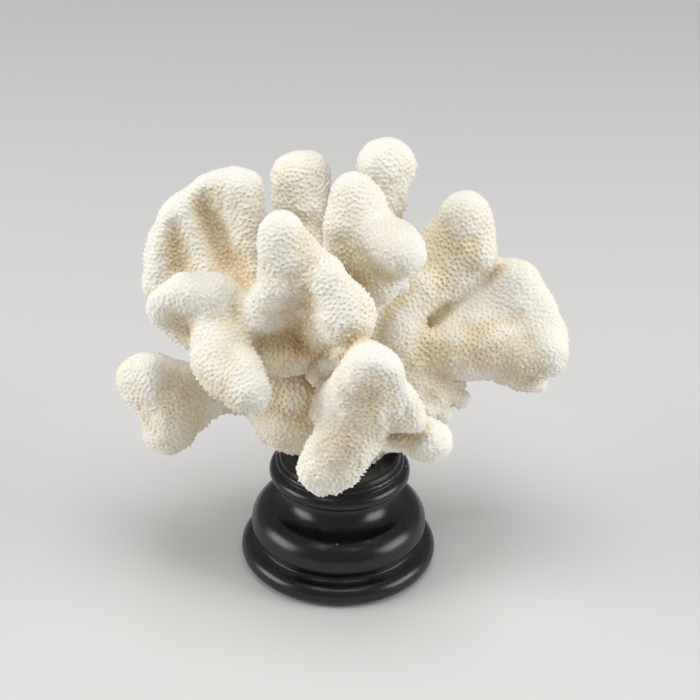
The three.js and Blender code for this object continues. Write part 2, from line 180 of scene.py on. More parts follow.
# small knobs, limbs of [x, y, z, radius]
KNOBS = [
    [[41.9, 4.0, 63.5, 3.50], [37.9, 4.0, 65.8, 3.14], [32.8, 2.0, 70.2, 4.16]],
    [[41.0, 6.0, 69.6, 2.44], [37.0, 5.0, 71.7, 3.13]],
    [[35.6, 0.0, 59.6, 3.31], [33.4, 0.0, 63.3, 3.30], [30.7, 0.0, 68.5, 4.16]],
    [[30.1, -5.0, 64.6, 2.76], [27.3, -2.0, 67.6, 4.15]],
    [[39.5, 8.0, 72.0, 2.09], [38.5, 6.0, 69.9, 2.44]],
    [[19.8, -6.0, 112.9, 2.15], [17.1, -4.0, 114.0, 2.99]],
    [[15.2, -4.0, 109.0, 2.17], [13.2, -2.0, 111.3, 3.00]],
    [[11.4, -2.0, 104.8, 2.01], [9.6, 0.0, 107.9, 3.02]],
    [[-1.8, -24.0, 92.1, 2.13], [-3.8, -18.0, 86.2, 2.99]],
    [[-4.8, -20.0, 91.2, 2.31], [-6.5, -14.0, 85.3, 3.01]],
    [[-7.8, -18.0, 86.1, 2.16], [-8.6, -12.0, 81.0, 3.03]],
    [[-3.7, -18.0, 83.1, 2.33], [-5.8, -12.0, 78.7, 3.04]],
    [[20.2, -16.0, 55.5, 1.54], [16.5, -14.0, 54.9, 2.06], [12.4, -8.0, 53.4, 3.12]],
    [[-28.8, -8.0, 63.3, 2.06], [-25.8, -6.0, 64.1, 3.10]],
    [[-27.0, -10.0, 60.1, 2.23], [-22.9, -8.0, 60.6, 3.45]],
    [[-24.9, -10.0, 54.9, 2.42], [-20.9, -8.0, 56.6, 3.80]],
    [[-71.4, -4.0, 66.1, 2.76], [-68.1, -5.0, 69.2, 4.12]],
    [[67.9, 1.0, 72.5, 3.28], [65.0, 2.0, 75.5, 4.14]],
    [[61.6, 3.0, 71.5, 2.95], [62.3, 2.0, 75.4, 3.80]],
    [[55.6, 4.0, 72.8, 2.78], [56.3, 2.0, 77.6, 3.79]],
]
# grooves and dimples (above zero) and ridges (below zero): height, width, points
MARKS = [
    (3.2, 3, [[-47.1, 10.6, 132.5], [-43.2, 9.4, 124.3], [-39.6, 5.4, 116.6], [-33.9, -0.3, 111.4]]),
    (-1.1, 2.2, [[-53.1, 10.8, 132.2], [-50.5, 8.0, 122.5], [-45.9, 3.7, 113.6]]),
    (1.9, 3.2, [[-57.9, 8.4, 122.2], [-56.0, 6.7, 113.3]]),
    (-0.9, 3, [[-33.9, 9.4, 140.7], [-30.9, 7.2, 131.2], [-30.2, 4.9, 121.3]]),
    (-0.9, 2.4, [[-59.3, 10.8, 128.8], [-61.9, 8.1, 120.7], [-64.0, 5.6, 111.4]]),
    (2, 2.6, [[-55.9, -22.3, 108.5], [-51.9, -19.6, 100.4]]),
    (-0.9, 2.6, [[-52.7, -19.0, 121.1], [-46.9, -23.9, 115.5], [-45.0, -26.0, 105.7]]),
    (1.3, 3, [[-56.2, -8.8, 76.2], [-48.2, -7.9, 71.1]]),
    (-0.8, 2.4, [[-64.9, -8.5, 80.5], [-64.2, -11.8, 71.9], [-59.3, -16.0, 60.6]]),
    (-0.9, 2.6, [[-14.4, -25.4, 130.8], [-13.8, -24.4, 120.2]]),
    (1.2, 2.6, [[5.9, -14.0, 127.7], [13.1, -16.8, 122.8]]),
    (3.3, 3.2, [[10.4, -53.1, 103.0], [8.1, -51.4, 95.3]]),
    (-0.8, 2.4, [[17.9, -47.6, 104.3], [20.2, -43.7, 94.7]]),
    (1, 2.6, [[-35.1, -33.0, 104.3], [-36.5, -41.3, 99.2]]),
    (1, 2.4, [[44.1, 9.5, 122.8], [42.6, 7.4, 112.5]]),
    (-0.9, 2.2, [[29.8, -1.1, 90.5], [46.5, -6.3, 91.2], [63.4, -0.4, 96.1], [71.0, 2.3, 97.6]]),
    (-1.2, 3, [[46.0, 3.6, 96.2], [57.3, 4.5, 100.6]]),
    (2.4, 2, [[30.1, -6.9, 70.6], [30.5, -6.9, 69.8]]),
    (4, 1.25, [[30.2, 5.8, 92.6], [35.6, 7.6, 96.8]]),
    (1.2, 0.95, [[35.6, 7.6, 96.8], [43.2, 8.5, 101.9], [49.1, 9.7, 106.5], [53.0, 11.7, 111.3]]),
]

# where the coral is made more (+) or less (-) tan: amount, width, points; partly its own stain, partly painted shade
# along grooves and under lobes, and some lines take painted shade back out of crevices
TAN_AND_SHADE_LINES = [
    (0.42, 4.5, [[-47.5, 10.7, 130.2], [-45.2, 8.7, 122.4], [-38.9, 4.4, 114.9], [-34.6, -0.8, 111.0]]),
    (0.22, 4, [[-56.9, 7.8, 119.1], [-56.0, 6.5, 112.3]]),
    (0.3, 3, [[-18.8, -18.7, 101.5], [-14.5, -18.0, 96.7]]),
    (0.25, 4.5, [[-13.8, -18.7, 94.0], [-20.3, -21.2, 91.5]]),
    (0.22, 5, [[38.1, -6.1, 89.0], [53.2, -8.6, 88.8], [66.7, -9.3, 87.7]]),
    (0.2, 4.5, [[-54.8, -9.5, 74.7], [-37.0, -42.0, 89.1]]),
    (0.18, 3, [[-55.6, -20.3, 105.1], [-52.5, -19.3, 100.9]]),
    (0.2, 4, [[-9.9, -27.5, 129.2], [-10.4, -23.3, 105.1]]),
    (0.2, 2.5, [[-10.0, -7.8, 79.2], [-11.3, -9.9, 77.3]]),
    (0.3, 3, [[15.6, -41.1, 77.1], [23.0, -36.8, 72.2]]),
    (0.2, 4, [[9.8, -53.2, 102.3], [8.1, -51.6, 96.2]]),
    (-0.25, 4, [[5.4, -11.9, 119.6], [9.5, -13.0, 114.1]]),
    (-0.35, 4, [[33.2, 6.6, 94.2], [46.5, 8.3, 103.7]]),
    (0.16, 8, [[46.5, -7.1, 89.8], [63.7, -9.0, 82.7]]),
    (0.22, 7, [[-20.5, -16.7, 62.1], [-13.7, -14.8, 63.1]]),
    (0.14, 6, [[0.2, -48.8, 75.5], [-4.5, -48.4, 67.4]]),
    (-0.12, 6, [[-49.1, -23.2, 118.7], [-41.1, -23.3, 115.3]]),
    (0.12, 6, [[29.8, -4.0, 87.5], [33.7, -4.0, 75.8]]),
    (0.15, 5, [[-15.5, 23.4, 122.0], [-12.0, -21.8, 136.8]]),
    (0.16, 7, [[-64.8, -11.6, 72.9], [-58.7, -14.5, 65.7], [-51.4, -11.0, 67.8]]),
    (0.14, 8, [[3.7, -50.3, 93.5], [1.8, -48.2, 78.9]]),
    (0.2, 7, [[-26.8, -13.5, 61.9], [-17.0, -17.1, 58.4]]),
    (0.14, 6, [[37.3, 9.6, 118.8], [29.3, 4.9, 105.8]]),
    (0.14, 6, [[-13.7, -22.4, 108.2], [-7.1, -29.6, 108.7]]),
]
# where the cups keep more (+) or less (-) of their orange
SPOTS = [
    (1.3, 3.6, [[4.1, -10.8, 118.7], [7.4, -28.6, 120.9], [8.1, -33.6, 116.8]]),
    (1.3, 3.2, [[11.8, -48.0, 110.2], [14.1, -50.8, 106.1], [14.9, -50.2, 98.5]]),
    (0.9, 3.5, [[10.0, -50.7, 93.8], [11.6, -46.3, 83.7]]),
    (0.7, 4, [[4.0, -48.1, 79.0], [0.3, -49.0, 72.5]]),
    (0.8, 3.5, [[-64.8, -11.4, 74.4], [-59.7, -15.1, 64.0], [-57.4, -16.2, 58.3]]),
    (0.7, 4, [[37.5, 10.6, 122.0], [41.2, 7.4, 112.5], [32.7, 5.8, 105.4]]),
    (0.7, 4.5, [[43.1, -4.5, 92.1], [54.8, -4.6, 94.4]]),
    (0.6, 4, [[29.8, 1.9, 92.0], [28.1, -4.0, 87.5]]),
    (0.8, 3, [[-13.2, -18.5, 96.6], [-9.8, -18.3, 90.1]]),
    (-0.75, 6.5, [[-40.8, -29.8, 106.0], [-34.7, -40.0, 101.0], [-30.2, -46.2, 94.8], [-24.9, -45.2, 90.6]]),
    (-0.6, 6, [[-54.0, -23.9, 113.5], [-45.9, -23.6, 115.3], [-38.0, -23.0, 113.4]]),
    (-0.5, 6, [[-18.7, -22.8, 142.4], [-18.6, -25.1, 134.8]]),
]

KLOBE = {"branch_front_right_toe": 4.0, "branch_front_left_finger": 7.0, "branch_right_paddle": 1.8}
KIN, KOUT = 5.0, 4.0
H = 0.9          # voxel, mm
BLUR = 1.5                            # smoothing of the field, mm
GROW = 0.35                           # puts back what the smoothing takes off, mm


def rcone(p, a, ra, b, rb):
    ba = b - a
    l2 = float(ba @ ba)
    rr = ra - rb
    a2 = l2 - rr * rr
    if a2 <= 1e-6:
        c, r = (a, ra) if ra > rb else (b, rb)
        q = p - c
        return np.sqrt(np.einsum("ij,ij->i", q, q)) - r
    il2 = 1.0 / l2
    pa = p - a
    y = pa @ ba
    z = y - l2
    x = pa * l2 - y[:, None] * ba
    x2 = np.einsum("ij,ij->i", x, x)
    y2 = y * y * l2
    z2 = z * z * l2
    k = math.copysign(1, rr) * rr * rr * x2 if rr != 0 else 0.0 * x2
    c1 = np.sign(z) * a2 * z2 > k
    c2 = np.sign(y) * a2 * y2 < k
    d3 = (np.sqrt(x2 * a2 * il2) + y * rr) * il2 - ra
    return np.where(c1, np.sqrt(x2 + z2) * il2 - rb, np.where(c2, np.sqrt(x2 + y2) * il2 - ra, d3))


def tri(p, a, b, c, r):
    ba, cb, ac = b - a, c - b, a - c
    pa, pb, pc = p - a, p - b, p - c
    n = np.cross(ba, ac)
    s = np.sign(pa @ np.cross(ba, n)) + np.sign(pb @ np.cross(cb, n)) + np.sign(pc @ np.cross(ac, n))

    def e(v, q):
        t = np.clip((q @ v) / float(v @ v), 0, 1)
        w = t[:, None] * v - q
        return np.einsum("ij,ij->i", w, w)

    ed = np.minimum(np.minimum(e(ba, pa), e(cb, pb)), e(ac, pc))
    return np.sqrt(np.where(s < 2, ed, (pa @ n) ** 2 / float(n @ n))) - r


def smin(a, b, k):
    h = np.maximum(k - np.abs(a - b), 0) / k
    return np.minimum(a, b) - h * h * k * 0.25


PRIMS = []      # (lobe index, limb index, kind, data, low corner, high corner, direction to the tip)
for li, (name, limbs, webs_) in enumerate(CORAL):
    for ci, limb in enumerate(limbs):
        pts = np.array(limb, float)
        for i in range(len(pts) - 1):
            a, b = pts[i], pts[i + 1]
            lo = np.minimum(a[:3] - a[3], b[:3] - b[3])
            hi = np.maximum(a[:3] + a[3], b[:3] + b[3])
            d = a[:3] - b[:3]
            PRIMS.append((li, ci, 0, (a[:3], a[3], b[:3], b[3]), lo, hi, d / np.linalg.norm(d)))
    for wi, (a, b, c, r) in enumerate(webs_):
        t = np.array([a, b, c], float)
        PRIMS.append((li, 1000 + wi, 1, (t[0], t[1], t[2], r), t.min(0) - r, t.max(0) + r, None))


def prim_distance(prim, p):
    return rcone(p, *prim[3]) if prim[2] == 0 else tri(p, *prim[3])


LOW = np.min([q[4] for q in PRIMS], 0) - 5.0
HIGH = np.max([q[5] for q in PRIMS], 0) + 5.0
MARGIN = 7.0


def field(h, low, high, margin, clip):
    """Smooth union of all lobes on a grid, mm."""
    shape = np.ceil((high - low) / h).astype(int) + 1
    total = np.full(shape, clip, np.float32)
    axes = [low[k] + h * np.arange(shape[k]) for k in range(3)]

    def span(lo, hi):
        i0 = np.maximum(np.floor((lo - margin - low) / h).astype(int), 0)
        i1 = np.minimum(np.ceil((hi + margin - low) / h).astype(int) + 1, shape)
        return i0, i1

    for li, (name, limbs, webs_) in enumerate(CORAL):
        mine = [q for q in PRIMS if q[0] == li]
        b0, b1 = span(np.min([q[4] for q in mine], 0), np.max([q[5] for q in mine], 0))
        lobe = np.full(b1 - b0, 60.0, np.float32)
        for key in sorted(set(q[1] for q in mine)):
            group = [q for q in mine if q[1] == key]
            g0, g1 = span(np.min([q[4] for q in group], 0), np.max([q[5] for q in group], 0))
            X, Y, Z = np.meshgrid(*[axes[k][g0[k]:g1[k]] for k in range(3)], indexing="ij")
            p = np.stack([X.ravel(), Y.ravel(), Z.ravel()], 1)
            d = None
            for q in group:
                x = prim_distance(q, p)
                d = x if d is None else smin(d, x, 2.0)
            s = tuple(slice(g0[k] - b0[k], g1[k] - b0[k]) for k in range(3))
            lobe[s] = smin(lobe[s], d.reshape(X.shape), KIN)
        s = tuple(slice(b0[k], b1[k]) for k in range(3))
        total[s] = smin(total[s], lobe, KLOBE.get(name, KOUT))
    return np.clip(total, -clip, clip), shape


def blur(a, sigma):
    r = int(math.ceil(3 * sigma))
    if r < 1:
        return a
    k = np.exp(-0.5 * (np.arange(-r, r + 1) / sigma) ** 2)
    k = (k / k.sum()).astype(np.float32)
    for ax in range(3):
        pad = [(0, 0)] * 3
        pad[ax] = (r, r)
        b = np.pad(a, pad, mode="edge")
        out = np.zeros_like(a)
        n = a.shape[ax]
        for i, w in enumerate(k):
            s = [slice(None)] * 3
            s[ax] = slice(i, i + n)
            out += w * b[tuple(s)]
        a = out
    return a


def noise_grid(shape, cell, seed):
    """Smooth random field of about unit height, one bump per cell voxels."""
    rng = np.random.RandomState(seed)
    small = rng.normal(size=tuple(int(math.ceil(n / cell)) + 3 for n in shape)).astype(np.float32)
    out = small
    for ax in range(3):
        t = np.arange(shape[ax]) / cell
        i = np.floor(t).astype(int)
        f = t - i
        f = (f * f * (3 - 2 * f)).astype(np.float32)
        a = np.take(out, i, axis=ax)
        b = np.take(out, i + 1, axis=ax)
        sh = [1, 1, 1]
        sh[ax] = len(f)
        f = f.reshape(sh)
        out = a * (1 - f) + b * f
    return out


class Sampler:
    def __init__(self, grid, low, h):
        self.g, self.low, self.h = grid, np.asarray(low, float), h
        self.n = np.array(grid.shape)
        self.flat = grid.ravel()
        self.st = np.array([self.n[1] * self.n[2], self.n[2], 1])

    def __call__(self, p):
        u = np.clip((p - self.low) / self.h, 0, self.n - 1.001)
        i = np.floor(u).astype(np.int64)
        f = (u - i).astype(np.float32)
        base = i @ self.st
        out = 0
        for dx in (0, 1):
            wx = f[:, 0] if dx else 1 - f[:, 0]
            for dy in (0, 1):
                wy = f[:, 1] if dy else 1 - f[:, 1]
                for dz in (0, 1):
                    wz = f[:, 2] if dz else 1 - f[:, 2]
                    out = out + wx * wy * wz * self.flat[base + dx * self.st[0] + dy * self.st[1] + dz]
        return out


def surface_nets(g, low, h):
    """Quads round every grid edge whose ends lie on opposite sides."""
    inside = g < 0
    nx, ny, nz = g.shape
    c = inside[:-1, :-1, :-1].astype(np.int8)
    cnt = np.zeros((nx - 1, ny - 1, nz - 1), np.int8)
    for dx in (0, 1):
        for dy in (0, 1):
            for dz in (0, 1):
                cnt += inside[dx:nx - 1 + dx, dy:ny - 1 + dy, dz:nz - 1 + dz]
    active = (cnt > 0) & (cnt < 8)
    ids = -np.ones(active.shape, np.int64)
    cells = np.argwhere(active)
    ids[active] = np.arange(len(cells))
    acc = np.zeros((len(cells), 3))
    num = np.zeros(len(cells))
    corner = [(dx, dy, dz) for dx in (0, 1) for dy in (0, 1) for dz in (0, 1)]
    val = {k: g[cells[:, 0] + k[0], cells[:, 1] + k[1], cells[:, 2] + k[2]].astype(float) for k in corner}
    for a in corner:
        for ax in range(3):
            if a[ax] == 0:
                b = tuple(1 if j == ax else a[j] for j in range(3))
                va, vb = val[a], val[b]
                x = (va < 0) != (vb < 0)
                t = np.where(x, va / np.where(x, va - vb, 1), 0)
                p = np.array(a, float)[None].repeat(len(cells), 0)
                p[:, ax] = t
                acc += np.where(x[:, None], p, 0)
                num += x
    verts = low + h * (cells + acc / num[:, None])
    quads = []
    for ax in range(3):
        s0 = [slice(None)] * 3
        s1 = [slice(None)] * 3
        s0[ax], s1[ax] = slice(0, -1), slice(1, None)
        a, b = inside[tuple(s0)], inside[tuple(s1)]
        e = np.argwhere(a != b)
        o = [k for k in range(3) if k != ax]
        ok = (e[:, o[0]] > 0) & (e[:, o[1]] > 0) & (e[:, o[0]] < g.shape[o[0]] - 1) & (e[:, o[1]] < g.shape[o[1]] - 1)
        e = e[ok]
        sa = a[e[:, 0], e[:, 1], e[:, 2]]

        def cell(d0, d1):
            q = e.copy()
            q[:, o[0]] += d0
            q[:, o[1]] += d1
            return ids[q[:, 0], q[:, 1], q[:, 2]]

        q = np.stack([cell(-1, -1), cell(0, -1), cell(0, 0), cell(-1, 0)], 1)
        flip = sa if ax != 1 else ~sa
        q[~flip] = q[~flip][:, ::-1]
        quads.append(q)
    return verts, np.concatenate(quads)


def subdivide(v, q):
    """Every quad into four."""
    n = len(v)
    e = np.stack([q, np.roll(q, -1, 1)], 2).reshape(-1, 2)
    key = np.sort(e, 1)
    uniq, inv = np.unique(key[:, 0] * np.int64(n) + key[:, 1], return_inverse=True)
    mid = (v[uniq // n] + v[uniq % n]) / 2
    cen = v[q].mean(1)
    em = (n + inv).reshape(-1, 4)
    cf = n + len(uniq) + np.arange(len(q))
    out = np.stack([np.stack([q[:, i], em[:, i], cf, em[:, (i + 3) % 4]], 1) for i in range(4)], 1).reshape(-1, 4)
    return np.concatenate([v, mid, cen]), out


G, shape = field(H, LOW, HIGH, MARGIN, 6.0)
G = blur(G, BLUR / H) - GROW
# slow swellings of the lobes, and finer unevenness
G += 0.35 * noise_grid(G.shape, 9.0 / H, 3) + 0.16 * noise_grid(G.shape, 4.0 / H, 4)
# the foot stands on the floor of the dish
xs = LOW[0] + H * np.arange(G.shape[0])
ys = LOW[1] + H * np.arange(G.shape[1])
zs = LOW[2] + H * np.arange(G.shape[2])
rr2 = xs[:, None] ** 2 + ys[None, :] ** 2
dish = np.where(rr2 < 26.0 ** 2, 39.5 + 0.0045 * rr2, -100.0)
# small knobs, grooves and dimples
def spot_distance(pts, x):
    d = None
    for a, b in zip(pts[:-1], pts[1:]):
        ab = b - a
        t = np.clip((x - a) @ ab / float(ab @ ab), 0, 1)
        e = np.linalg.norm(x - a - t[:, None] * ab, axis=1)
        d = e if d is None else np.minimum(d, e)
    return np.linalg.norm(x - pts[0], axis=1) if d is None else d


def window(lo, hi):
    i0 = np.maximum(np.floor((lo - LOW) / H).astype(int), 0)
    i1 = np.minimum(np.ceil((hi - LOW) / H).astype(int) + 1, G.shape)
    X, Y, Z = np.meshgrid(xs[i0[0]:i1[0]], ys[i0[1]:i1[1]], zs[i0[2]:i1[2]], indexing="ij")
    return tuple(slice(i0[k], i1[k]) for k in range(3)), np.stack([X.ravel(), Y.ravel(), Z.ravel()], 1), X.shape


for chain in KNOBS:
    c = np.array(chain, float)
    s, x, shp = window((c[:, :3] - c[:, 3:]).min(0) - 5, (c[:, :3] + c[:, 3:]).max(0) + 5)
    d = None
    for a, b in zip(c[:-1], c[1:]):
        e = rcone(x, a[:3], a[3], b[:3], b[3])
        d = e if d is None else smin(d, e, 1.0)
    G[s] = smin(G[s], d.reshape(shp).astype(np.float32), 1.6)
for amp, sig, pts in MARKS:
    c = np.array(pts, float)
    s, x, shp = window(c.min(0) - 3 * sig, c.max(0) + 3 * sig)
    d = spot_distance(c, x)
    G[s] += (amp * np.exp(-0.5 * (d / sig) ** 2)).reshape(shp).astype(np.float32)
G = np.maximum(G, (dish[:, :, None] - zs[None, None, :]).astype(np.float32))
sample = Sampler(G, LOW, H)
grads = [Sampler(np.ascontiguousarray(x), LOW, H) for x in np.gradient(G, H)]
convex = Sampler(blur(G, 3.2 / H) - G, LOW, H)


def gradient(p):
    n = np.stack([s(p) for s in grads], 1)
    return n / (np.linalg.norm(n, axis=1)[:, None] + 1e-9)


V, Q = surface_nets(G, LOW, H)

# keep the one connected body
parent = np.arange(len(V))
def components(nv, q):
    lab = np.arange(nv)
    while True:
        m = lab[q].min(1)
        new = lab.copy()
        for k in range(4):
            np.minimum.at(new, q[:, k], m)
        new = new[new]
        if np.array_equal(new, lab):
            return lab
        lab = new
lab = components(len(V), Q)
u, cnt = np.unique(lab, return_counts=True)
print("SURFACE", len(V), len(Q), "components", sorted(cnt.tolist())[-5:])
main = u[np.argmax(cnt)]
keep = lab == main
Q = Q[keep[Q[:, 0]]]
remap = -np.ones(len(V), np.int64)
remap[keep] = np.arange(keep.sum())
V, Q = V[keep], remap[Q]


def settle(v, steps=2):
    for _ in range(steps):
        v = v - np.clip(sample(v), -0.6, 0.6)[:, None] * gradient(v) * 0.9
    return v


def relax(v, q, rounds, amount):
    """Evens out the spacing of the points without leaving the surface."""
    for _ in range(rounds):
        s = np.zeros_like(v)
        c = np.zeros(len(v))
        for i in range(4):
            a, b = q[:, i], q[:, (i + 1) % 4]
            np.add.at(s, a, v[b])
            np.add.at(c, a, 1)
        m = s / np.maximum(c, 1)[:, None]
        d = m - v
        n = gradient(v)
        v = v + amount * (d - np.einsum("ij,ij->i", d, n)[:, None] * n)
    return v


V = settle(relax(settle(V), Q, 2, 0.5))
V, Q = subdivide(V, Q)
V = settle(V)
N = gradient(V)
print("FINE", len(V), "vertices", 2 * len(Q), "triangles")

# ---- which lobe every point belongs to, and the way its lobe grows
nl = len(CORAL)
near = np.full((nl, len(V)), 30.0, np.float32)
grow = np.zeros((len(V), 3))
order = np.argsort(V[:, 0])
sx = V[order, 0]
for q in PRIMS:
    a, b = np.searchsorted(sx, [q[4][0] - 9, q[5][0] + 9])
    idx = order[a:b]
    p = V[idx]
    ok = ((p[:, 1:] > q[4][1:] - 9) & (p[:, 1:] < q[5][1:] + 9)).all(1)
    idx = idx[ok]
    if not len(idx):
        continue
    d = prim_distance(q, V[idx])
    near[q[0], idx] = np.minimum(near[q[0], idx], d)
    if q[6] is not None:
        grow[idx] += np.exp(-np.clip(d, -3, 12) / 1.5)[:, None] * q[6]
grow /= np.linalg.norm(grow, axis=1)[:, None] + 1e-9
grow -= np.einsum("ij,ij->i", grow, N)[:, None] * N
lean = np.linalg.norm(grow, axis=1)
grow /= lean[:, None] + 1e-9
side = np.cross(N, grow)
territory = near.argmin(0)

# ---- centres of the cups: an even scatter over the surface, then evened out
rng = np.random.RandomState(11)
tipness = np.clip(convex(V) / 1.6, 0, 1)
spacing = 1.22 + 0.22 * (1 - tipness) + 0.05 * rng.normal(size=len(V))
PITCH_MAX = 1.8
cellsz = PITCH_MAX
cell_id = np.floor((V - LOW) / cellsz).astype(np.int64)
dims = cell_id.max(0) + 2
key = (cell_id[:, 0] * dims[1] + cell_id[:, 1]) * dims[2] + cell_id[:, 2]
picked = []
table = {}
neigh = [(dx * dims[1] + dy) * dims[2] + dz for dx in (-1, 0, 1) for dy in (-1, 0, 1) for dz in (-1, 0, 1)]
VL = V.tolist()
KL = key.tolist()
SL = (spacing ** 2).tolist()
NL = N.tolist()
for i in rng.permutation(len(V)).tolist():
    x, y, z = VL[i]
    k = KL[i]
    s2 = SL[i]
    ok = True
    for d in neigh:
        for j in table.get(k + d, ()):
            a, b, c = VL[j]
            if (a - x) ** 2 + (b - y) ** 2 + (c - z) ** 2 < s2:
                ok = False
                break
        if not ok:
            break
    if ok:
        table.setdefault(k, []).append(i)
        picked.append(i)
centres = V[picked]
print("CUPS", len(picked), flush=True)


def nearest(centres, p, n):
    t = kdtree.KDTree(len(centres))
    for i, c in enumerate(centres.tolist()):
        t.insert(c, i)
    t.balance()
    out = np.empty((len(p), n), np.int64)
    dist = np.empty((len(p), n))
    for i, c in enumerate(p.tolist()):
        for j, (co, idx, d) in enumerate(t.find_n(c, n)):
            out[i, j] = idx
            dist[i, j] = d
    return out, dist


for _ in range(2):
    own, _d = nearest(centres, V, 1)
    own = own[:, 0]
    cnt = np.bincount(own, minlength=len(centres))
    m = np.stack([np.bincount(own, V[:, k], len(centres)) for k in range(3)], 1) / np.maximum(cnt, 1)[:, None]
    centres = np.where((cnt > 2)[:, None], centres + 0.8 * (m - centres), centres)
    centres = settle(centres, 1)
own, dist = nearest(centres, V, 4)
F1, F2 = dist[:, 0], dist[:, 1]

# ---- shade and hollows from the shape
def openness(step):
    return np.clip((step - sample(V + step * N)) / step, 0, 1)


hollow = 0.35 * openness(1.5) + 0.35 * openness(3.0) + 0.3 * openness(5.4)
conv = convex(V)

# ---- cups: each a small pit under a raised hood on the side towards the tip
NC = len(centres)
r1 = np.random.RandomState(5)
tall = np.clip(r1.normal(1.0, 0.24, NC), 0.45, 1.6)
turn = r1.normal(0, 0.6, NC)
wide = r1.uniform(0.29, 0.40, NC)
off = r1.uniform(0.34, 0.5, NC)
rim = np.clip((conv - 0.75) / 0.9, 0, 1)      # growing edges and tips are nearly smooth
rim = rim * rim * (3 - 2 * rim)
for name, limbs, webs_ in CORAL:
    if name == "coral_trunk":
        continue
    for limb in limbs:
        a_, b_ = np.array(limb[0]), np.array(limb[1])
        d_ = (a_ - b_)[:3] / np.linalg.norm((a_ - b_)[:3])
        rel = V - a_[:3]
        s_ = np.linalg.norm(rel, axis=1) / a_[3]
        w_ = np.clip((1.6 - s_) / 0.5, 0, 1) * np.clip((N @ d_ - 0.3) * 1.8, 0, 1)
        rim = np.maximum(rim, 0.62 * w_)
hood = np.zeros(len(V))
pit = np.zeros(len(V))
push = np.zeros(len(V))
for k in range(4):
    o = own[:, k]
    rel = V - centres[o]
    u0 = np.einsum("ij,ij->i", rel, grow)
    s0 = np.einsum("ij,ij->i", rel, side)
    ca, sa = np.cos(turn[o]), np.sin(turn[o])
    u = ca * u0 + sa * s0
    w = -sa * u0 + ca * s0
    # towards the tip the hood closes to a ring all round
    ln = np.clip(lean * 1.3 - 0.1, 0, 1)
    bump = np.exp(-0.5 * (((u - off[o]) / 0.27) ** 2 + (w / wide[o]) ** 2)) * tall[o]
    ring = np.exp(-0.5 * ((np.hypot(u, w) - 0.55) / 0.2) ** 2) * 0.75
    h = ln * bump + (1 - ln) * ring
    hood = np.maximum(hood, h)
    pit = np.maximum(pit, np.exp(-0.5 * ((u + 0.06) ** 2 + w ** 2) / 0.26 ** 2))
face = np.clip(0.46 + 1.0 * hollow + 0.5 * np.clip(0.35 - N[:, 2], -0.3, 0.6), 0.3, 1.0)
tooth = np.clip(face * (1 - rim) + 0.24 * rim, 0.2, 1.0)
lumps = Sampler(noise_grid(G.shape, 2.7 / H, 21), LOW, H)(V)
under = np.clip(0.75 - N[:, 2], 0, 1) * (1 - rim)
grain = np.random.RandomState(9).normal(size=len(V))
height = tooth * hood - (0.44 - 0.26 * rim) * pit + 0.06 * grain * (1 - 0.5 * rim) + 0.38 * lumps * under
D = N * height[:, None] + grow * (0.35 * tooth * hood * hood * lean)[:, None]
P = V + D

# ------------------------------------------------------------------ materials
def nodes_of(name):
    m = bpy.data.materials.new(name)
    m.use_nodes = True
    t = m.node_tree
    for n in list(t.nodes):
        t.nodes.remove(n)
    return m, t


def add(t, kind, **kw):
    n = t.nodes.new(kind)
    for k, v in kw.items():
        setattr(n, k, v)
    return n


def ramp(t, stops, interp="EASE"):
    r = add(t, "ShaderNodeValToRGB")
    r.color_ramp.interpolation = interp
    e = r.color_ramp.elements
    while len(e) > 1:
        e.remove(e[-1])
    e[0].position, e[0].color = stops[0][0], stops[0][1]
    for pos, col in stops[1:]:
        x = e.new(pos)
        x.color = col
    return r


def lin(*c):
    """sRGB 0..255 to linear"""
    out = []
    for x in c:
        x = x / 255
        out.append(x / 12.92 if x <= 0.04045 else ((x + 0.055) / 1.055) ** 2.4)
    return tuple(out) + (1.0,)


def mix(t, a, b, fac, blend="MIX"):
    n = add(t, "ShaderNodeMix", data_type="RGBA", blend_type=blend)
    for sock, v in ((n.inputs[0], fac), (n.inputs[6], a), (n.inputs[7], b)):
        if hasattr(v, "is_output"):
            t.links.new(v, sock)
        else:
            sock.default_value = v
    return n.outputs[2]


def math_(t, op, a, b=None, clamp=False):
    n = add(t, "ShaderNodeMath", operation=op, use_clamp=clamp)
    for sock, v in ((n.inputs[0], a), (n.inputs[1], b)):
        if v is None:
            continue
        if hasattr(v, "is_output"):
            t.links.new(v, sock)
        else:
            sock.default_value = v
    return n.outputs[0]


def noise(t, vec, scale, detail=3, rough=0.5):
    n = add(t, "ShaderNodeTexNoise")
    n.inputs["Scale"].default_value = scale
    n.inputs["Detail"].default_value = detail
    n.inputs["Roughness"].default_value = rough
    t.links.new(vec, n.inputs["Vector"])
    return n.outputs["Fac"]


def attr(t, name):
    n = add(t, "ShaderNodeAttribute", attribute_name=name)
    return n.outputs["Fac"]


